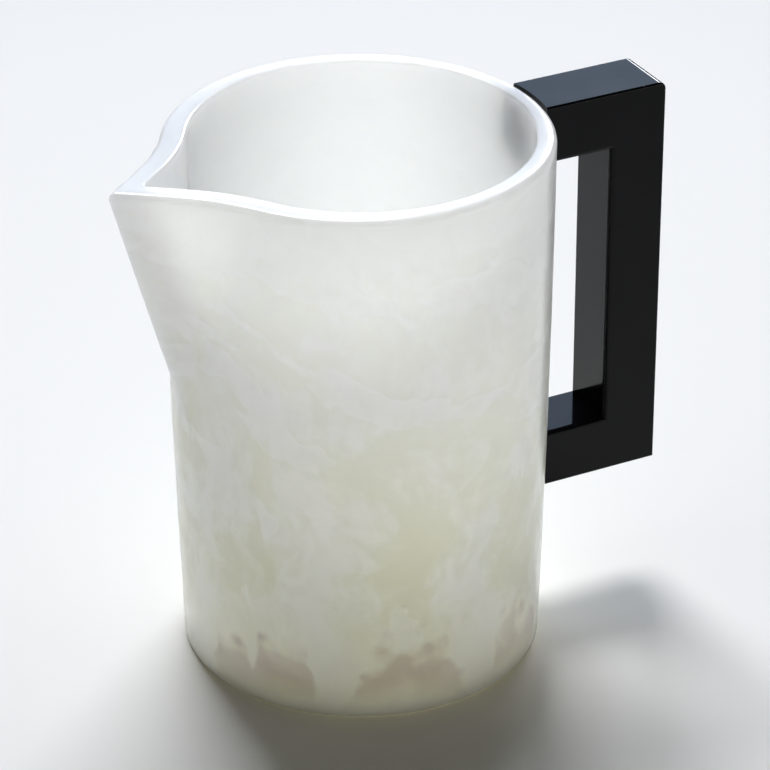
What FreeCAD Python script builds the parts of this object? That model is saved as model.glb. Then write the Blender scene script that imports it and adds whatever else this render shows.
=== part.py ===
import FreeCAD, Part
import math
import os

import Sketcher

# Cast resin pitcher: a tapered round vessel with a pointed lip, and a square C-shaped bar handle
# that is scribed to the wall, bonded and pinned at both arms.
# Millimetres. Origin at the centre of the foot, +Z up, handle towards +X, lip towards -X.

SIZES = {
    "BodyHeight": 182.0,
    "RimRadius": 63.0,
    "FootRadius": 59.7,
    "Belly": 0.6,
    "Wall": 7.5,
    "CavityShift": 1.2,
    "FloorThickness": 9.0,
    "FootRound": 1.5,
    "RimRound": 2.4,
    "MouthRound": 1.1,
    "CavityRound": 7.0,
    "LipTurn": 2.1,
    "LipReach": 25.7,
    "LipHalfAngle": 38.0,
    "LipBlend": 80.0,
    "LipNose": 1.0,
    "LipStart": 90.0,
    "CavityLipReach": 20.9,
    "CavityLipBlend": 80.0,
    "CavityLipStart": 113.0,
    "HandleReach": 106.7,
    "HandleFoot": 41.3,
    "HandleWidth": 22.4,
    "BarThickness": 20.2,
    "HandleCorner": 2.6,
    "GripRound": 1.6,
    "EdgeRound": 0.8,
    "BondThickness": 0.3,
    "BondMargin": 2.4,
    "DowelDiameter": 4.0,
    "DowelLength": 18.0,
    "DowelInWall": 3.4,
}

# Shares of the way from where a lip starts up to the rim, one for each level section through it.
# The lip's reach grows in step with the share, its blends faster and its nose slower.
LIP_STATIONS = (0.01, 0.25, 0.5, 0.75, 1.0)
CAVITY_LIP_STATIONS = (0.02, 0.25, 0.5, 0.75, 1.0)
BLEND_GROWTH = 1.4
NOSE_GROWTH = 0.5

# Tolerance for telling where an edge lies.
SLACK = 0.01


def size(name):
    """Expression that reads one cell of the sheet."""
    return f"Sizes.{name}"


def wall_radius(height):
    """Expression for the outside radius of the round wall at a height: straight taper plus belly."""
    share = f"({height} / {size('BodyHeight')})"
    taper = f"({size('RimRadius')} - {size('FootRadius')}) * {share}"
    belly = f"4 * {size('Belly')} * {share} * (1 - {share})"
    return f"({size('FootRadius')} + {taper} + {belly})"


def make_sheet(doc):
    sheet = doc.addObject("Spreadsheet::Sheet", "Sizes")
    for row, (alias, number) in enumerate(SIZES.items(), start=1):
        sheet.set(f"A{row}", alias)
        sheet.set(f"B{row}", str(number))
        sheet.setAlias(f"B{row}", alias)
    doc.recompute()
    return sheet


def read(sheet, expression):
    """Present value of an expression, for a sketch's first guess."""
    result = sheet.evalExpression(expression)
    return float(getattr(result, "Value", result))


def origin_plane(body, role):
    return next(item for item in body.Origin.OriginFeatures if item.Role == role)


def new_sketch(body, name, role):
    sketch = body.newObject("Sketcher::SketchObject", name)
    sketch.AttachmentSupport = [(origin_plane(body, role), "")]
    sketch.MapMode = "FlatFace"
    return sketch


def bind(sketch, constraint, name, expression):
    """Add a dimension to a sketch, name it and tie it to the sheet."""
    index = sketch.addConstraint(constraint)
    sketch.renameConstraint(index, name)
    sketch.setExpression(f"Constraints.{name}", expression)


def circle_section(body, sheet, name, height, radius, shift):
    """Level circle, its centre moved along +X from the vessel's axis."""
    sketch = new_sketch(body, name, "XY_Plane")
    sketch.setExpression("AttachmentOffset.Base.x", shift)
    sketch.setExpression("AttachmentOffset.Base.z", height)
    circle = Part.Circle(FreeCAD.Vector(), FreeCAD.Vector(0, 0, 1), read(sheet, radius))
    sketch.addGeometry(circle, False)
    sketch.addConstraint(Sketcher.Constraint("Coincident", 0, 3, -1, 1))
    bind(sketch, Sketcher.Constraint("Radius", 0, read(sheet, radius)), "Radius", radius)
    return sketch


def lip_section(body, sheet, name, height, radius, shift, reach, blend, nose_radius):
    """Level teardrop: the round wall, two flat lip sides that meet in a small nose, and blends."""
    ring = read(sheet, radius)
    flare = read(sheet, blend)
    nose = read(sheet, nose_radius)
    half = math.radians(read(sheet, size("LipHalfAngle")))
    point = ring + read(sheet, reach)
    side_normal = FreeCAD.Vector(math.sin(half), math.cos(half), 0)
    offset = math.acos((point * math.sin(half) + flare) / (ring + flare))
    turn = math.pi / 2 - half - offset
    flare_centre = FreeCAD.Vector(math.cos(turn), math.sin(turn), 0) * (ring + flare)
    nose_centre = FreeCAD.Vector(point - nose / math.sin(half), 0, 0)
    side_start = flare_centre - side_normal * flare
    side_end = nose_centre + side_normal * nose

    def mirrored(spot):
        return FreeCAD.Vector(spot.x, -spot.y, 0)

    def arc(centre, arc_radius, start, end):
        circle = Part.Circle(centre, FreeCAD.Vector(0, 0, 1), arc_radius)
        return Part.ArcOfCircle(circle, start, end)

    sketch = new_sketch(body, name, "XY_Plane")
    turned = FreeCAD.Rotation(FreeCAD.Vector(0, 0, 1), 180 + read(sheet, size("LipTurn")))
    sketch.AttachmentOffset = FreeCAD.Placement(FreeCAD.Vector(), turned)
    sketch.setExpression("AttachmentOffset.Base.x", shift)
    sketch.setExpression("AttachmentOffset.Base.z", height)
    sketch.setExpression("AttachmentOffset.Rotation.Angle", f"180 deg + {size('LipTurn')} * 1 deg")
    outline = [
        arc(FreeCAD.Vector(), ring, turn, 2 * math.pi - turn),
        arc(flare_centre, flare, turn + math.pi, 1.5 * math.pi - half),
        Part.LineSegment(side_start, side_end),
        arc(nose_centre, nose, half - math.pi / 2, math.pi / 2 - half),
        Part.LineSegment(mirrored(side_start), mirrored(side_end)),
        arc(mirrored(flare_centre), flare, math.pi / 2 + half, math.pi - turn),
    ]
    sketch.addGeometry(outline, False)
    joints = ((0, 1, 1, 1), (1, 2, 2, 1), (2, 2, 3, 2), (3, 1, 4, 2), (4, 1, 5, 1), (5, 2, 0, 2))
    for joint in joints:
        sketch.addConstraint(Sketcher.Constraint("Tangent", *joint))
    sketch.addConstraint(Sketcher.Constraint("Coincident", 0, 3, -1, 1))
    sketch.addConstraint(Sketcher.Constraint("PointOnObject", 3, 3, -1))
    sketch.addConstraint(Sketcher.Constraint("Equal", 1, 5))
    sketch.addConstraint(Sketcher.Constraint("Equal", 2, 4))
    bind(sketch, Sketcher.Constraint("Radius", 0, ring), "Ring", radius)
    bind(sketch, Sketcher.Constraint("Radius", 1, flare), "Flare", blend)
    bind(sketch, Sketcher.Constraint("Radius", 3, nose), "Nose", nose_radius)
    bind(sketch, Sketcher.Constraint("Angle", 4, half), "HalfAngle", f"{size('LipHalfAngle')} * 1 deg")
    nose_place = f"{radius} + {reach} - {nose_radius} / sin({size('LipHalfAngle')} * 1 deg)"
    bind(sketch, Sketcher.Constraint("DistanceX", -1, 1, 3, 3, nose_centre.x), "NosePlace", nose_place)
    return sketch


def loft(body, kind, name, sections):
    feature = body.newObject(f"PartDesign::{kind}", name)
    feature.Profile = sections[0]
    feature.Sections = sections[1:]
    feature.Ruled = True
    return feature


def round_edges(body, name, base, edge_names, radius):
    feature = body.newObject("PartDesign::Fillet", name)
    feature.Base = (base, edge_names)
    feature.setExpression("Radius", radius)
    return feature


def pick_edges(shape, wanted):
    """Names of the edges whose bounding box passes a test."""
    return [f"Edge{number}" for number, edge in enumerate(shape.Edges, start=1) if wanted(edge.BoundBox)]


def edges_at_height(shape, height):
    return pick_edges(shape, lambda box: abs(box.ZMin - height) < SLACK and abs(box.ZMax - height) < SLACK)


def rim_edges(shape, height, inner):
    """Names of the level edges round the mouth, or else of those round the outside of the rim."""
    top = next(face for face in shape.Faces if face.BoundBox.ZMin > height - SLACK)
    wires = sorted(top.Wires, key=lambda wire: wire.BoundBox.DiagonalLength)
    wanted = wires[0] if inner else wires[-1]
    return [f"Edge{number}" for number, edge in enumerate(shape.Edges, start=1)
            if any(edge.isSame(other) for other in wanted.Edges)]


def station_height(start, share):
    """Expression for the height a share of the way from a lip's start up to the rim."""
    return f"({size(start)} + {share} * ({size('BodyHeight')} - {size(start)}))"


def lip_sections(body, sheet, name, stations, start, inset, shift, reach, blend):
    """Teardrops from where a lip starts up to the rim; reach and blend grow with height."""
    sections = []
    for number, share in enumerate(stations):
        height = station_height(start, share)
        sections.append(lip_section(
            body, sheet, f"{name}{number}", height, f"({wall_radius(height)} - {inset})", shift,
            f"{share} * {size(reach)}", f"{share ** BLEND_GROWTH} * {size(blend)}",
            f"{share ** NOSE_GROWTH} * {size('LipNose')}"))
    return sections


def ring_sections(body, sheet, name, heights, inset, shift):
    return [circle_section(
        body, sheet, f"{name}{number}", height, f"({wall_radius(height)} - {inset})", shift)
            for number, height in enumerate(heights)]


def make_vessel_body(doc, sheet):
    """The casting before it is drilled: outside lofts, inside lofts, then the rounded edges."""
    body = doc.addObject("PartDesign::Body", "VesselBody")
    lip_foot = station_height("LipStart", LIP_STATIONS[0])
    wall_heights = ["0", f"({lip_foot} / 2)", lip_foot]
    wall_rings = ring_sections(body, sheet, "WallRing", wall_heights, "0", "0")
    loft(body, "AdditiveLoft", "LowerWall", wall_rings)
    outer = lip_sections(
        body, sheet, "LipOutline", LIP_STATIONS, "LipStart", "0", "0", "LipReach", "LipBlend")
    loft(body, "AdditiveLoft", "UpperWall", outer)

    cavity_foot = station_height("CavityLipStart", CAVITY_LIP_STATIONS[0])
    floor = size("FloorThickness")
    cavity_heights = [floor, f"(({floor} + {cavity_foot}) / 2)", cavity_foot]
    wall, shift = size("Wall"), size("CavityShift")
    cavity_rings = ring_sections(body, sheet, "CavityRing", cavity_heights, wall, shift)
    loft(body, "SubtractiveLoft", "LowerCavity", cavity_rings)
    inner = lip_sections(body, sheet, "CavityOutline", CAVITY_LIP_STATIONS, "CavityLipStart",
                         wall, shift, "CavityLipReach", "CavityLipBlend")
    cavity = loft(body, "SubtractiveLoft", "UpperCavity", inner)
    doc.recompute()

    foot = round_edges(body, "FootEdge", cavity, edges_at_height(cavity.Shape, 0), size("FootRound"))
    doc.recompute()
    floor_edges = edges_at_height(foot.Shape, read(sheet, floor))
    corner = round_edges(body, "CavityCorner", foot, floor_edges, size("CavityRound"))
    doc.recompute()
    rim = read(sheet, size("BodyHeight"))
    mouth = round_edges(body, "MouthEdges", corner, rim_edges(corner.Shape, rim, True), size("MouthRound"))
    doc.recompute()
    round_edges(body, "RimEdges", mouth, rim_edges(mouth.Shape, rim, False), size("RimRound"))
    doc.recompute()
    return body


def make_bonded_core(doc):
    """Solid of the round wall's outside with the adhesive on it; the arms are scribed to it."""
    low = f"({size('HandleFoot')} - {size('BarThickness')} / 2)"
    high = f"({size('BodyHeight')} + {size('BarThickness')} / 2)"
    rings = []
    for number, height in enumerate((low, f"(({low} + {high}) / 2)", high)):
        ring = doc.addObject("Part::Circle", f"BondRing{number}")
        ring.setExpression("Radius", f"{wall_radius(height)} + {size('BondThickness')}")
        ring.setExpression("Placement.Base.z", height)
        rings.append(ring)
    core = doc.addObject("Part::Loft", "BondedCore")
    core.Sections = rings
    core.Solid = True
    core.Ruled = True
    return core


def handle_outline(body, sheet):
    """C-shaped outline in the XZ plane, its open side inside the vessel's wall."""
    reach = read(sheet, size("HandleReach"))
    bar = read(sheet, size("BarThickness"))
    low = read(sheet, size("HandleFoot"))
    high = read(sheet, size("BodyHeight"))
    root = read(sheet, size("FootRadius")) / 2
    corners = [(root, low), (reach, low), (reach, high), (root, high),
               (root, high - bar), (reach - bar, high - bar), (reach - bar, low + bar), (root, low + bar)]
    sketch = new_sketch(body, "HandleOutline", "XZ_Plane")
    points = [FreeCAD.Vector(across, up, 0) for across, up in corners]
    count = len(points)
    for number in range(count):
        sketch.addGeometry(Part.LineSegment(points[number], points[(number + 1) % count]), False)
    for number in range(count):
        sketch.addConstraint(Sketcher.Constraint("Coincident", number, 2, (number + 1) % count, 1))
        direction = "Horizontal" if number % 2 == 0 else "Vertical"
        sketch.addConstraint(Sketcher.Constraint(direction, number))
    sketch.addConstraint(Sketcher.Constraint("Vertical", 4, 1, 7, 2))

    def place(axis, line, at, name, expression):
        start = sketch.getPoint(line, at)
        distance = start.x if axis == "DistanceX" else start.y
        bind(sketch, Sketcher.Constraint(axis, -1, 1, line, at, distance), name, expression)

    bar_high = f"{size('BodyHeight')} - {size('BarThickness')}"
    bar_low = f"{size('HandleFoot')} + {size('BarThickness')}"
    place("DistanceX", 0, 1, "Root", f"{size('FootRadius')} / 2")
    place("DistanceY", 0, 1, "Low", size("HandleFoot"))
    place("DistanceX", 1, 1, "Reach", size("HandleReach"))
    place("DistanceY", 2, 1, "High", size("BodyHeight"))
    place("DistanceY", 4, 1, "GapHigh", bar_high)
    place("DistanceX", 5, 1, "GapReach", f"{size('HandleReach')} - {size('BarThickness')}")
    place("DistanceY", 6, 1, "GapLow", bar_low)
    return sketch


def make_handle_bar(doc, sheet):
    """The square bar before it is scribed: padded outline, then its rounded edges."""
    body = doc.addObject("PartDesign::Body", "HandleBody")
    pad = body.newObject("PartDesign::Pad", "Bar")
    pad.Profile = handle_outline(body, sheet)
    pad.setExpression("Length", size("HandleWidth"))
    pad.Midplane = True
    doc.recompute()

    outside = pad.Shape.BoundBox
    bar = read(sheet, size("BarThickness"))
    gap_reach = outside.XMax - bar
    gap_low = outside.ZMin + bar
    gap_high = outside.ZMax - bar

    def at_top_corner(box):
        return box.XMin > outside.XMax - SLACK and box.ZMin > outside.ZMax - SLACK

    def round_gap(box):
        inside = box.XMax < gap_reach + SLACK and box.ZMin > gap_low - SLACK and box.ZMax < gap_high + SLACK
        return inside and box.YLength < SLACK

    def round_outside(box):
        on_side = box.YLength < SLACK and box.XMax > outside.XMin + SLACK
        far = box.XMax > gap_reach + bar / 2
        return on_side and (far or box.ZMax > gap_high + bar / 2 or box.ZMin < gap_low - bar / 2)

    corner = round_edges(body, "TopCorner", pad, pick_edges(pad.Shape, at_top_corner), size("HandleCorner"))
    doc.recompute()
    grip = round_edges(body, "GripEdges", corner, pick_edges(corner.Shape, round_gap), size("GripRound"))
    doc.recompute()
    round_edges(body, "LongEdges", grip, pick_edges(grip.Shape, round_outside), size("EdgeRound"))
    doc.recompute()
    return body


def make_dowel(doc, name, height):
    """Pin along +X, its inner end sunk a little way into the wall."""
    dowel = doc.addObject("Part::Cylinder", name)
    dowel.Label = name
    dowel.Placement = FreeCAD.Placement(FreeCAD.Vector(), FreeCAD.Rotation(FreeCAD.Vector(0, 1, 0), 90))
    dowel.setExpression("Radius", f"{size('DowelDiameter')} / 2")
    dowel.setExpression("Height", size("DowelLength"))
    dowel.setExpression("Placement.Base.x", f"{wall_radius(height)} - {size('DowelInWall')}")
    dowel.setExpression("Placement.Base.z", height)
    return dowel


def make_cut(doc, name, base, tool):
    cut = doc.addObject("Part::Cut", name)
    cut.Base = base
    cut.Tool = tool
    return cut


def make_bond(doc, name, height, bonded_core, wall, dowel):
    """Adhesive pad: it fills the gap between the wall and an arm, and the dowel pierces it."""
    block = doc.addObject("Part::Box", f"{name}_block")
    margin = size("BondMargin")
    block.setExpression("Length", size("Wall"))
    block.setExpression("Width", f"{size('HandleWidth')} - 2 * {margin}")
    block.setExpression("Height", f"{size('BarThickness')} - 2 * {margin}")
    block.setExpression("Placement.Base.x", f"{size('FootRadius')} - {size('Wall')} / 3")
    block.setExpression("Placement.Base.y", f"{margin} - {size('HandleWidth')} / 2")
    block.setExpression("Placement.Base.z", f"{height} + {margin} - {size('BarThickness')} / 2")
    filled = doc.addObject("Part::Common", f"{name}_filled")
    filled.Base = block
    filled.Tool = bonded_core
    layer = make_cut(doc, f"{name}_layer", filled, wall)
    bond = make_cut(doc, name, layer, dowel)
    bond.Label = name
    return bond


def build():
    doc = FreeCAD.newDocument("Pitcher")
    sheet = make_sheet(doc)
    upper = f"({size('BodyHeight')} - {size('BarThickness')} / 2)"
    lower = f"({size('HandleFoot')} + {size('BarThickness')} / 2)"
    upper_dowel = make_dowel(doc, "upper_dowel", upper)
    lower_dowel = make_dowel(doc, "lower_dowel", lower)
    dowels = doc.addObject("Part::MultiFuse", "Dowels")
    dowels.Shapes = [upper_dowel, lower_dowel]

    casting = make_vessel_body(doc, sheet)
    vessel = make_cut(doc, "Vessel", casting, dowels)
    vessel.Label = "vessel"

    bonded_core = make_bonded_core(doc)
    scribed = make_cut(doc, "ScribedBar", make_handle_bar(doc, sheet), bonded_core)
    handle = make_cut(doc, "Handle", scribed, dowels)
    handle.Label = "handle"

    upper_bond = make_bond(doc, "upper_bond", upper, bonded_core, casting, upper_dowel)
    lower_bond = make_bond(doc, "lower_bond", lower, bonded_core, casting, lower_dowel)
    doc.recompute()
    return doc, [vessel, handle, upper_dowel, lower_dowel, upper_bond, lower_bond]


def check(doc, parts):
    for item in doc.Objects:
        if "Invalid" in item.State or "Error" in item.State:
            raise RuntimeError(f"{item.Name} did not build: {item.State}")
    for part in parts:
        if part.Shape.isNull() or not part.Shape.isValid():
            raise RuntimeError(f"{part.Label} has no valid shape")
        if len(part.Shape.Solids) != 1:
            raise RuntimeError(f"{part.Label} has {len(part.Shape.Solids)} solids")


def write(parts):
    os.makedirs("parts", exist_ok=True)
    for part in parts:
        part.Shape.exportStep(f"parts/{part.Label}.step")
        box = part.Shape.optimalBoundingBox(True)
        print(f"{part.Label}: {part.Shape.Volume / 1000:.2f} cm3, "
              f"X {box.XMin:.1f} to {box.XMax:.1f}, Y {box.YMin:.1f} to {box.YMax:.1f}, "
              f"Z {box.ZMin:.1f} to {box.ZMax:.1f}")


document, pieces = build()
check(document, pieces)
write(pieces)
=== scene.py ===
"""Looks of a marbled resin pitcher with a black square handle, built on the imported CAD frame.

Everything is in metres, in the frame of the CAD model: the pitcher stands on z = 0 with its axis
on the origin, the handle points along +X and the lip roughly along -X.
"""

import math

import bmesh
import bpy
import numpy as np
from mathutils import Euler, Matrix, Vector


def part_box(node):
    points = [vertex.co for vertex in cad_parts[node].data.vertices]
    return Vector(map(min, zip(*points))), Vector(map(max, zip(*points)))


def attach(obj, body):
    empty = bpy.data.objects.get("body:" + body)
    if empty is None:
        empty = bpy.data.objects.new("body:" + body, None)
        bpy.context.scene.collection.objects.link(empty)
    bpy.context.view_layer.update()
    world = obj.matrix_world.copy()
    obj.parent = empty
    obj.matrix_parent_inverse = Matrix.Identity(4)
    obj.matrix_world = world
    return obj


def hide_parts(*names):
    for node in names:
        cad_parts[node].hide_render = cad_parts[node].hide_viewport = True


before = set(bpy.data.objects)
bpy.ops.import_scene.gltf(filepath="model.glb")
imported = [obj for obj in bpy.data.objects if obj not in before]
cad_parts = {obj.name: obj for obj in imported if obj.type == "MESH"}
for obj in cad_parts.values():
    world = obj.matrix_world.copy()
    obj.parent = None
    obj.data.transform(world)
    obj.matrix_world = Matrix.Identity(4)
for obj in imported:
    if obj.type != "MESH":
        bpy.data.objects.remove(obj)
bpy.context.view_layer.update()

# ---------------------------------------------------------------- sizes of the vessel
VESSEL_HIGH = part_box("vessel")[1]
HEIGHT = VESSEL_HIGH.z
RIM_RADIUS = VESSEL_HIGH.x
TAPER = 0.0033
FOOT_RADIUS = RIM_RADIUS - TAPER
BELLY = 0.0006
WALL = 0.0075
CAVITY_SHIFT = 0.0012
FLOOR_THICKNESS = 0.009
FOOT_ROUND = 0.0015
RIM_ROUND = 0.0024
MOUTH_ROUND = 0.0011
CAVITY_ROUND = 0.007

LIP_TURN = math.radians(182.1)
LIP_HALF_ANGLE = math.radians(38)
LIP_OUTSIDE = {"start": 0.090, "reach": 0.0254, "blend": 0.080, "nose": 0.001}
LIP_INSIDE = {"start": 0.113, "reach": 0.0209, "blend": 0.080, "nose": 0.001}
BLEND_GROWTH = 1.4
NOSE_GROWTH = 0.5
SMALLEST_ROUND = 0.00005
SMALLEST_LIP = 0.01

# Stains on the wall near the foot: turn and half width in degrees, then the height they reach.
# STAIN_SIDES sets how steep their sides are: at 1 a stain is full only along its middle.
STAINS = [(260, 22, 0.027), (219, 13, 0.026), (199, 11, 0.020), (302, 17, 0.024), (338, 12, 0.021),
          (20, 20, 0.025), (66, 14, 0.022), (103, 20, 0.027), (150, 17, 0.024)]
STAIN_SIDES = 1.5

# ---------------------------------------------------------------- colours of the resin, partly painted glow and shade
# The foot colours are darker and warmer than the rim ones: partly the resin's own olive tint, partly
# painted shade for the dimmer lower wall.
CLOUD_SHADOW = {"foot": (0.745, 0.750, 0.560, 1), "rim": (0.900, 0.905, 0.845, 1)}
CLOUD_LIGHT = {"foot": (0.948, 0.952, 0.785, 1), "rim": (0.978, 0.984, 0.960, 1)}
RIM_WHITE = (0.990, 0.992, 0.995, 1)
CAVITY_WHITE = (0.985, 0.993, 0.993, 1)
# Warm tint over the lower wall: partly the resin's own colour, partly a painted glow that lightens the
# foot as if light shone through it.
FOOT_TINT_AND_PAINTED_GLOW = (0.945, 0.925, 0.725, 1)
# Honey band at the bottom edge: partly the resin's own colour, partly a painted glow that brightens
# the edge.
FOOT_HONEY_AND_PAINTED_GLOW = (0.992, 0.960, 0.720, 1)
STAIN_DARK = (0.560, 0.495, 0.440, 1)
STAIN_PALE = (0.680, 0.625, 0.545, 1)

# ---------------------------------------------------------------- mesh density
HALF_COLUMNS = 96
COLUMN_CROWDING = 1.7
ROUND_STEPS = 6
PLAIN_SPACING = 0.006
LIP_SPACING = 0.002
FLAT_SHARES = (0.25, 0.5, 0.75)
RIM_SHARES = (0.33, 0.67)


# ================================================================ vessel
def wall_radius(z):
    """Radius of the outer wall at a height: a straight taper with a slight belly."""
    share = z / HEIGHT
    return FOOT_RADIUS + (RIM_RADIUS - FOOT_RADIUS) * share + 4 * BELLY * share * (1 - share)


def teardrop(turn, radius, point, blend, nose):
    """Distance from the axis to a teardrop outline, at angles measured from its point.

    The outline is a circle, two arcs that blend it into straight sides, and a small round nose.
    point is where the straight sides would meet.
    """
    turn = np.abs(turn)
    sin_half, cos_half = math.sin(LIP_HALF_ANGLE), math.cos(LIP_HALF_ANGLE)
    offset = math.acos((point * sin_half + blend) / (radius + blend))
    round_end = math.pi / 2 - LIP_HALF_ANGLE - offset
    centre = (radius + blend) * np.array([math.cos(round_end), math.sin(round_end)])
    side_end = centre - blend * np.array([sin_half, cos_half])
    nose_centre = point - nose / sin_half
    nose_end = math.atan2(nose * cos_half, nose_centre + nose * sin_half)

    towards = centre[0] * np.cos(turn) + centre[1] * np.sin(turn)
    arc = towards - np.sqrt(np.maximum(towards**2 - centre @ centre + blend**2, 0))
    side = point * sin_half / np.sin(LIP_HALF_ANGLE + turn)
    sideways = np.minimum(nose_centre * np.sin(turn), nose)
    tip = nose_centre * np.cos(turn) + np.sqrt(nose**2 - sideways**2)
    regions = [turn >= round_end, turn >= math.atan2(side_end[1], side_end[0]), turn >= nose_end]
    return np.select(regions, [np.full_like(turn, radius), arc, side], tip)


def outline(turns, z, lip, grow):
    """Radii of the wall's section at a height, moved outwards by grow all round."""
    radius = wall_radius(z) - (WALL if lip is LIP_INSIDE else 0)
    share = (z - lip["start"]) / (HEIGHT - lip["start"])
    if share < SMALLEST_LIP:
        return np.full_like(turns, radius + grow)
    point = radius + lip["reach"] * share + grow / math.sin(LIP_HALF_ANGLE)
    blend = lip["blend"] * share**BLEND_GROWTH - grow
    nose = max(lip["nose"] * share**NOSE_GROWTH + grow, SMALLEST_ROUND)
    return teardrop(turns, radius + grow, point, blend, nose)


def steps(start, stop, spacing):
    """Evenly spaced values from start up to, but not at, stop."""
    count = max(1, round(abs(stop - start) / spacing))
    return np.linspace(start, stop, count, endpoint=False)


def outside_rings(turns):
    """Rings of the outer surface as (height, radii), from under the foot up to the rim."""
    quarter = np.linspace(0, math.pi / 2, ROUND_STEPS)
    foot = outline(turns, 0, LIP_OUTSIDE, -FOOT_ROUND)
    rings = [(0, foot * share) for share in FLAT_SHARES]
    for a in quarter[:-1]:
        z = FOOT_ROUND * (1 - math.cos(a))
        rings.append((z, outline(turns, z, LIP_OUTSIDE, FOOT_ROUND * (math.sin(a) - 1))))
    below = steps(FOOT_ROUND, LIP_OUTSIDE["start"], PLAIN_SPACING)
    above = steps(LIP_OUTSIDE["start"], HEIGHT - RIM_ROUND, LIP_SPACING)
    rings += [(z, outline(turns, z, LIP_OUTSIDE, 0)) for z in [*below, *above]]
    for a in quarter:
        z = HEIGHT - RIM_ROUND * (1 - math.sin(a))
        rings.append((z, outline(turns, z, LIP_OUTSIDE, RIM_ROUND * (math.cos(a) - 1))))
    return rings


def inside_rings(turns):
    """Rings of the cavity about its own axis as (height, radii), from the rim down to its floor."""
    quarter = np.linspace(0, math.pi / 2, ROUND_STEPS)
    rings = []
    for a in quarter[::-1]:
        z = HEIGHT - MOUTH_ROUND * (1 - math.sin(a))
        rings.append((z, outline(turns, z, LIP_INSIDE, MOUTH_ROUND * (1 - math.cos(a)))))
    above = steps(HEIGHT - MOUTH_ROUND, LIP_INSIDE["start"], LIP_SPACING)[1:]
    below = steps(LIP_INSIDE["start"], FLOOR_THICKNESS + CAVITY_ROUND, PLAIN_SPACING)
    rings += [(z, outline(turns, z, LIP_INSIDE, 0)) for z in [*above, *below]]
    for a in quarter:
        z = FLOOR_THICKNESS + CAVITY_ROUND * (1 - math.sin(a))
        rings.append((z, outline(turns, z, LIP_INSIDE, CAVITY_ROUND * (math.cos(a) - 1))))
    floor = rings[-1][1]
    rings += [(FLOOR_THICKNESS, floor * share) for share in FLAT_SHARES[::-1]]
    return rings


def make_vessel():
    """The whole vessel as one closed surface: outer wall, rim, inner wall and floor."""
    half = np.linspace(0, 1, HALF_COLUMNS + 1) ** COLUMN_CROWDING * math.pi
    turns = np.concatenate([half, -half[-2:0:-1]])
    columns = len(turns)
    directions = np.stack([np.cos(turns + LIP_TURN), np.sin(turns + LIP_TURN)], axis=1)
    outside = [(z, directions * radii[:, None]) for z, radii in outside_rings(turns)]
    inside = [(z, directions * radii[:, None] + (CAVITY_SHIFT, 0)) for z, radii in inside_rings(turns)]
    edge, mouth = outside[-1][1], inside[0][1]
    rim = [(HEIGHT, edge + (mouth - edge) * share) for share in RIM_SHARES]
    points = []
    for z, ring in outside + rim + inside:
        points += [(x, y, z) for x, y in ring]
    bottom, top = len(points), len(points) + 1
    last = bottom - columns
    points += [(0, 0, 0), (CAVITY_SHIFT, 0, FLOOR_THICKNESS)]

    faces = []
    for c in range(columns):
        n = (c + 1) % columns
        faces.append((bottom, n, c))
        faces.append((top, last + c, last + n))
        for start in range(0, last, columns):
            faces.append((start + c, start + n, start + columns + n, start + columns + c))
    return finish_mesh("vessel_marbled", points, faces)


def finish_mesh(name, points, faces):
    """A smooth-shaded object from points and faces, with its normals turned outwards."""
    mesh = bpy.data.meshes.new(name)
    mesh.from_pydata(points, [], faces)
    work = bmesh.new()
    work.from_mesh(mesh)
    bmesh.ops.recalc_face_normals(work, faces=work.faces)
    work.to_mesh(mesh)
    work.free()
    mesh.polygons.foreach_set("use_smooth", [True] * len(mesh.polygons))
    piece = bpy.data.objects.new(name, mesh)
    bpy.context.scene.collection.objects.link(piece)
    return piece


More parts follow.
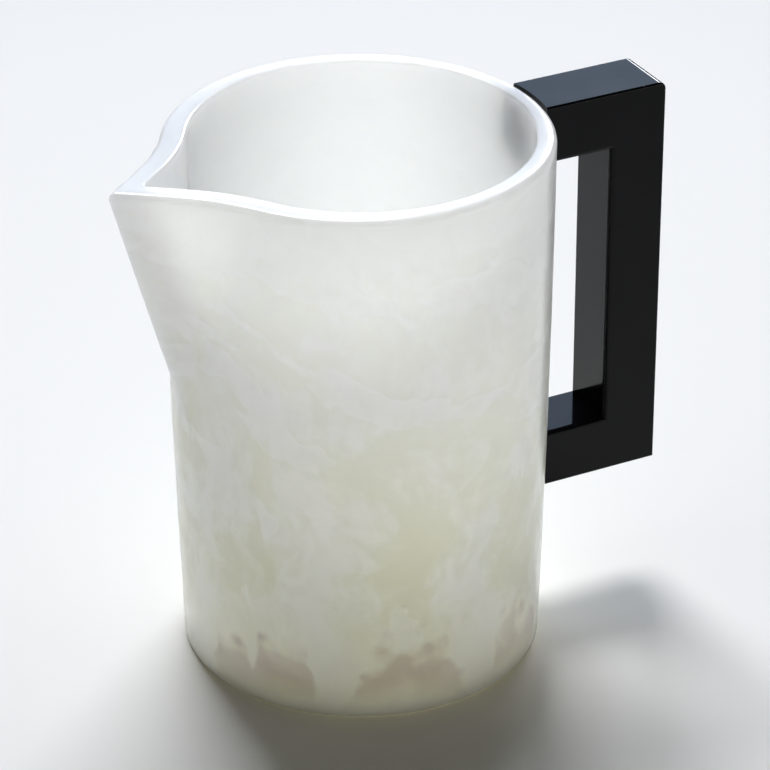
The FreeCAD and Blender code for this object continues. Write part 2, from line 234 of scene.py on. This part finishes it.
# ================================================================ materials
class Nodes:
    """Short calls for building one material's node tree."""

    def __init__(self, name):
        self.material = bpy.data.materials.new(name)
        self.material.use_nodes = True
        self.tree = self.material.node_tree
        self.shader = self.tree.nodes["Principled BSDF"]
        self.coords = self.add("ShaderNodeTexCoord").outputs["Object"]

    def add(self, kind, settings=(), **values):
        """A node with its properties set, and values put on or linked to its inputs by name."""
        made = self.tree.nodes.new(kind)
        for key, value in dict(settings).items():
            setattr(made, key, value)
        for key, value in values.items():
            self.put(made.inputs[key.replace("_", " ")], value)
        return made

    def put(self, socket, value):
        if isinstance(value, bpy.types.NodeSocket):
            self.tree.links.new(value, socket)
        else:
            socket.default_value = value

    def math(self, operation, *values):
        made = self.add("ShaderNodeMath", {"operation": operation})
        for socket, value in zip(made.inputs, values):
            self.put(socket, value)
        return made.outputs[0]

    def vector(self, operation, *values):
        made = self.add("ShaderNodeVectorMath", {"operation": operation})
        for socket, value in zip(made.inputs, values):
            self.put(socket, value)
        return made.outputs["Value" if operation in ("DOT_PRODUCT", "LENGTH") else "Vector"]

    def noise(self, place, scale, detail=4.0, roughness=0.5):
        made = self.add("ShaderNodeTexNoise", Vector=place, Scale=scale, Detail=detail,
                        Roughness=roughness)
        return made.outputs["Fac"]

    def stretch(self, place, scale, turn=(0, 0, 0)):
        """Coordinates turned, then scaled, so that a texture is stretched along an axis."""
        made = self.add("ShaderNodeMapping", {"vector_type": "TEXTURE"}, Vector=place,
                        Rotation=turn, Scale=[1 / s for s in scale])
        return made.outputs["Vector"]

    def warp(self, place, scale, amount):
        """Coordinates pushed about by a slow noise."""
        swirl = self.add("ShaderNodeTexNoise", Vector=place, Scale=scale, Detail=2.0)
        centred = self.vector("SUBTRACT", swirl.outputs["Color"], (0.5, 0.5, 0.5))
        return self.vector("MULTIPLY_ADD", centred, (amount, amount, amount), place)

    def remap(self, value, low, high, out_low=0.0, out_high=1.0):
        made = self.add("ShaderNodeMapRange", {"interpolation_type": "SMOOTHSTEP"}, Value=value,
                        From_Min=low, From_Max=high, To_Min=out_low, To_Max=out_high)
        return made.outputs["Result"]

    def total(self, *terms):
        """The sum of values, each times its own factor."""
        value = 0.0
        for term, factor in terms:
            value = self.math("MULTIPLY_ADD", term, factor, value)
        return value

    def layers(self, place, scale, count):
        """Flow fronts: a noise cut into bands, each fading on one side with an edge on the other."""
        wave = self.math("FRACT", self.math("MULTIPLY", self.noise(place, scale, 3.0, 0.45), count))
        return self.math("MULTIPLY", self.remap(wave, 0.2, 0.95), self.remap(wave, 1.0, 0.94))

    def blend(self, share, first, second):
        made = self.add("ShaderNodeMix", {"data_type": "FLOAT"})
        for socket, value in zip(made.inputs[:1] + made.inputs[2:4], (share, first, second)):
            self.put(socket, value)
        return made.outputs[0]

    def mix(self, share, first, second):
        made = self.add("ShaderNodeMix", {"data_type": "RGBA"})
        self.put(made.inputs["Factor"], share)
        self.put(made.inputs[6], first)
        self.put(made.inputs[7], second)
        return made.outputs[2]

    def tint(self, base, colour, share, strength):
        """A colour laid over another, at most with the given strength."""
        return self.mix(self.math("MULTIPLY", share, strength), base, colour)


def foot_stains(n, place, ragged):
    """How far a spot lies inside the stains that rise from the foot; below 0 is outside them."""
    z = n.add("ShaderNodeSeparateXYZ", Vector=place).outputs["Z"]
    level = n.vector("MULTIPLY", place, (1, 1, 0))
    outwards = n.vector("NORMALIZE", level)
    deepest = -1.0
    for turn, half_width, top in STAINS:
        middle = (math.cos(math.radians(turn)), math.sin(math.radians(turn)), 0)
        towards = n.vector("DOT_PRODUCT", outwards, middle)
        edge = math.cos(math.radians(half_width))
        steepness = STAIN_SIDES / (1 - edge)
        across = n.total((towards, steepness), (1.0, -steepness * edge))
        dome = n.total((n.math("MINIMUM", across, 1.0), 1.0), (z, -1 / top))
        deepest = n.math("MAXIMUM", deepest, dome)
    return n.total((deepest, 1.0), (ragged, -1.0))


def cloud_colours(n, z, clouds, curled):
    """Clouds with slanting veils above and upright flames below, warmer and darker downwards: partly
    the resin's own olive tint, partly painted shade for the dimmer lower wall.
    """
    wisps = n.noise(n.stretch(curled, (1.3, 1.3, 0.55)), 75.0, 4.0, 0.6)
    veils = n.layers(n.stretch(curled, (0.55, 0.75, 2.4), (0.30, 0.32, 0)), 24.0, 2.0)
    flames = n.layers(n.stretch(curled, (1.25, 1.25, 0.45)), 34.0, 2.5)
    flow = n.blend(n.remap(z, 0.105, 0.070), veils, flames)
    tone = n.total((clouds, 0.9), (wisps, 0.5), (flow, 0.14))

    # Partly painted shade: the lower wall is darker and warmer, both as the resin's own olive tint and
    # as shade where less light reaches.
    height = n.remap(z, 0.02, 0.17)
    shadow = n.mix(height, CLOUD_SHADOW["foot"], CLOUD_SHADOW["rim"])
    light = n.mix(height, CLOUD_LIGHT["foot"], CLOUD_LIGHT["rim"])
    colour = n.mix(n.remap(tone, 0.60, 0.90), shadow, light)
    cap = n.remap(n.total((z, 1.0), (clouds, 0.030)), 0.178, 0.184)
    return n.tint(colour, RIM_WHITE, cap, 0.6)


def foot_colours(n, z, clouds, swirled, colour):
    """The same colours with a warm tint, ragged stains and a honey band laid over them at the foot;
    the tint and the band are partly the resin's own colour and partly painted glow that lightens the
    foot.
    """
    # Partly painted glow: a warm tint that lightens the lower wall as if light shone through the foot.
    tint_and_painted_glow = n.remap(n.total((z, 1.0), (clouds, 0.020)), 0.060, 0.024)
    colour = n.tint(colour, FOOT_TINT_AND_PAINTED_GLOW, tint_and_painted_glow, 0.85)

    billows = n.add("ShaderNodeTexVoronoi", {"feature": "SMOOTH_F1"}, Scale=140.0,
                    Vector=n.warp(n.coords, 90.0, 0.006)).outputs["Distance"]
    ragged = n.total((billows, 0.9), (n.noise(swirled, 45.0, 5.0), 1.9), (1.0, -1.37))
    stain = n.remap(foot_stains(n, n.warp(n.coords, 40.0, 0.014), ragged), -0.14, 0.42)
    umber = n.mix(n.remap(clouds, 0.40, 0.60), STAIN_DARK, STAIN_PALE)
    colour = n.tint(colour, umber, stain, 0.92)

    # Partly painted glow: the honey band brightens the bottom edge, where little light comes through
    # the wall.
    honey_and_painted_glow = n.remap(n.total((z, 1.0), (clouds, 0.020)), 0.025, 0.010)
    return n.tint(colour, FOOT_HONEY_AND_PAINTED_GLOW, honey_and_painted_glow, 0.95)


def marbled_resin():
    """Milky cast resin that lets light through: clouded wall, stained foot and paler cavity."""
    n = Nodes("marbled_resin")
    z = n.add("ShaderNodeSeparateXYZ", Vector=n.coords).outputs["Z"]
    swirled = n.warp(n.coords, 20.0, 0.026)
    curled = n.warp(swirled, 60.0, 0.012)
    clouds = n.noise(curled, 34.0, 6.0, 0.54)
    colour = cloud_colours(n, z, clouds, curled)
    colour = foot_colours(n, z, clouds, swirled, colour)
    from_axis = n.vector("LENGTH", n.vector("MULTIPLY", n.coords, (1, 1, 0)))
    cavity = n.remap(from_axis, 0.0590, 0.0575)
    colour = n.tint(colour, CAVITY_WHITE, cavity, 0.85)

    roughness = n.remap(n.noise(n.coords, 90.0), 0.3, 0.7, 0.16, 0.26)
    bump = n.add("ShaderNodeBump", Height=n.noise(n.coords, 45.0, 2.0), Strength=0.08, Distance=0.001)
    n.put(n.shader.inputs["Base Color"], colour)
    n.put(n.shader.inputs["Roughness"], roughness)
    n.put(n.shader.inputs["Normal"], bump.outputs["Normal"])
    n.shader.inputs["IOR"].default_value = 1.5
    n.shader.inputs["Subsurface Weight"].default_value = 1.0
    n.shader.inputs["Subsurface Radius"].default_value = (1.0, 1.0, 0.9)
    n.shader.inputs["Subsurface Scale"].default_value = 0.034
    return n.material


def black_resin():
    """Polished black resin: deep gloss with a faint haze and a few fine polishing marks."""
    n = Nodes("black_resin")
    depth = n.noise(n.coords, 60.0, 3.0)
    colour = n.mix(n.remap(depth, 0.3, 0.7), (0.0010, 0.0011, 0.0016, 1), (0.0022, 0.0023, 0.0032, 1))
    haze = n.noise(n.coords, 35.0, 4.0)
    roughness = n.remap(haze, 0.3, 0.7, 0.07, 0.14)
    bump = n.add("ShaderNodeBump", Height=n.noise(n.coords, 30.0, 2.0), Strength=0.05, Distance=0.001)
    n.put(n.shader.inputs["Base Color"], colour)
    n.put(n.shader.inputs["Roughness"], roughness)
    n.put(n.shader.inputs["Normal"], bump.outputs["Normal"])
    n.shader.inputs["IOR"].default_value = 1.24
    return n.material


def dowel_steel():
    """Ground steel pin: fine rings round its length."""
    n = Nodes("dowel_steel")
    grind = n.noise(n.stretch(n.coords, (6.0, 0.4, 0.4)), 400.0, 3.0)
    n.put(n.shader.inputs["Base Color"], n.mix(grind, (0.50, 0.51, 0.53, 1), (0.63, 0.64, 0.66, 1)))
    n.put(n.shader.inputs["Roughness"], n.remap(grind, 0.2, 0.8, 0.22, 0.42))
    n.shader.inputs["Metallic"].default_value = 1.0
    return n.material


def clear_adhesive():
    """Cured adhesive film: colourless, slightly cloudy."""
    n = Nodes("clear_adhesive")
    cloud = n.noise(n.coords, 500.0, 3.0)
    n.put(n.shader.inputs["Base Color"], n.mix(cloud, (0.72, 0.72, 0.68, 1), (0.86, 0.86, 0.82, 1)))
    n.put(n.shader.inputs["Roughness"], n.remap(cloud, 0.2, 0.8, 0.3, 0.5))
    n.shader.inputs["Transmission Weight"].default_value = 0.6
    n.shader.inputs["IOR"].default_value = 1.48
    return n.material


def floor_paper():
    """Pale matt studio paper, darkened away from the pitcher by a painted fall-off of the light."""
    n = Nodes("floor_paper")
    mottle = n.noise(n.coords, 3.0, 3.0)
    bright = n.mix(mottle, (0.860, 0.860, 0.855, 1), (0.880, 0.880, 0.875, 1))
    # Painted fall-off of the light: the paper darkens away from the pitcher, as if the pool of light
    # faded.
    painted_light_falloff = n.remap(n.vector("LENGTH", n.coords), 0.15, 0.85)
    n.put(n.shader.inputs["Base Color"], n.mix(painted_light_falloff, bright, (0.66, 0.66, 0.67, 1)))
    n.shader.inputs["Roughness"].default_value = 0.9
    n.shader.inputs["Specular IOR Level"].default_value = 0.2
    return n.material


# ================================================================ studio
def make_floor():
    size = 6.0
    corners = [(-size, -size, 0), (size, -size, 0), (size, size, 0), (-size, size, 0)]
    floor = finish_mesh("studio_floor", corners, [(0, 1, 2, 3)])
    floor.data.materials.append(floor_paper())


def softbox(name, towards, distance, width, height, power, colour):
    """A rectangular soft light that stands off in a direction and faces the pitcher's middle."""
    light = bpy.data.lights.new(name, "AREA")
    light.shape = "RECTANGLE"
    light.size, light.size_y = width, height
    light.energy = power
    light.color = colour
    lamp = bpy.data.objects.new(name, light)
    direction = Vector(towards).normalized()
    lamp.location = Vector((0, 0, HEIGHT / 2)) + direction * distance
    lamp.rotation_euler = direction.to_track_quat("Z", "Y").to_euler()
    lamp.visible_camera = False
    bpy.context.scene.collection.objects.link(lamp)


def light_studio():
    softbox("key_light", (0.15, 0.57, 0.81), 3.5, 1.3, 0.8, 88, (1.0, 1.0, 1.0))
    softbox("low_light", (0.64, 0.66, 0.42), 6.0, 1.8, 1.6, 195, (1.0, 1.0, 1.0))
    softbox("back_light", (0.4, 0.8, 0.48), 3.0, 3.0, 1.6, 29, (0.58, 0.74, 1.0))
    softbox("left_fill", (-0.99, -0.06, 0.05), 4.0, 2.0, 0.4, 9, (1.0, 0.98, 0.90))
    softbox("front_fill", (-0.30, -0.94, 0.05), 4.0, 2.0, 0.4, 21, (1.0, 0.94, 0.78))
    softbox("right_fill", (0.66, -0.74, 0.05), 4.0, 2.0, 0.4, 20, (1.0, 0.98, 0.93))
    world = bpy.data.worlds.new("studio")
    world.use_nodes = True
    background = world.node_tree.nodes["Background"]
    background.inputs["Color"].default_value = (1.0, 0.99, 0.95, 1)
    background.inputs["Strength"].default_value = 0.035
    bpy.context.scene.world = world


CAMERA = {
    "azimuth": math.radians(-26.58),
    "elevation": math.radians(29.16),
    "distance": 1.2454,
    "aim": Vector((0, 0, HEIGHT / 2)),
    "pan": math.radians(-0.38),
    "roll": math.radians(-0.41),
    "lens": 177.7,
}


def place_camera():
    """A long lens at the photo's angle, turned a little off the pitcher's axis."""
    a, e = CAMERA["azimuth"], CAMERA["elevation"]
    back = Vector((math.sin(a) * math.cos(e), -math.cos(a) * math.cos(e), math.sin(e)))
    upright = back.to_track_quat("Z", "Y").to_matrix()
    trim = Euler((0, CAMERA["pan"], CAMERA["roll"])).to_matrix()
    data = bpy.data.cameras.new("photo_camera")
    data.lens = CAMERA["lens"]
    data.sensor_width = 36
    data.clip_start, data.clip_end = 0.05, 50
    camera = bpy.data.objects.new("photo_camera", data)
    camera.matrix_world = (
        Matrix.Translation(CAMERA["aim"] + back * CAMERA["distance"]) @ (upright @ trim).to_4x4()
    )
    bpy.context.scene.collection.objects.link(camera)
    bpy.context.scene.camera = camera


# ================================================================ assembly
def dress_node(name, material):
    """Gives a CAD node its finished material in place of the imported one."""
    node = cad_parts[name]
    node.data.materials.clear()
    node.data.materials.append(material)


vessel = make_vessel()
vessel.data.materials.append(marbled_resin())
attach(vessel, "root")
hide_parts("vessel")

dress_node("handle", black_resin())
steel, adhesive = dowel_steel(), clear_adhesive()
for place in ("upper", "lower"):
    dress_node(place + "_dowel", steel)
    dress_node(place + "_bond", adhesive)

make_floor()
light_studio()
place_camera()
bpy.context.scene.view_settings.view_transform = "Standard"
bpy.context.scene.cycles.diffuse_bounces = 12
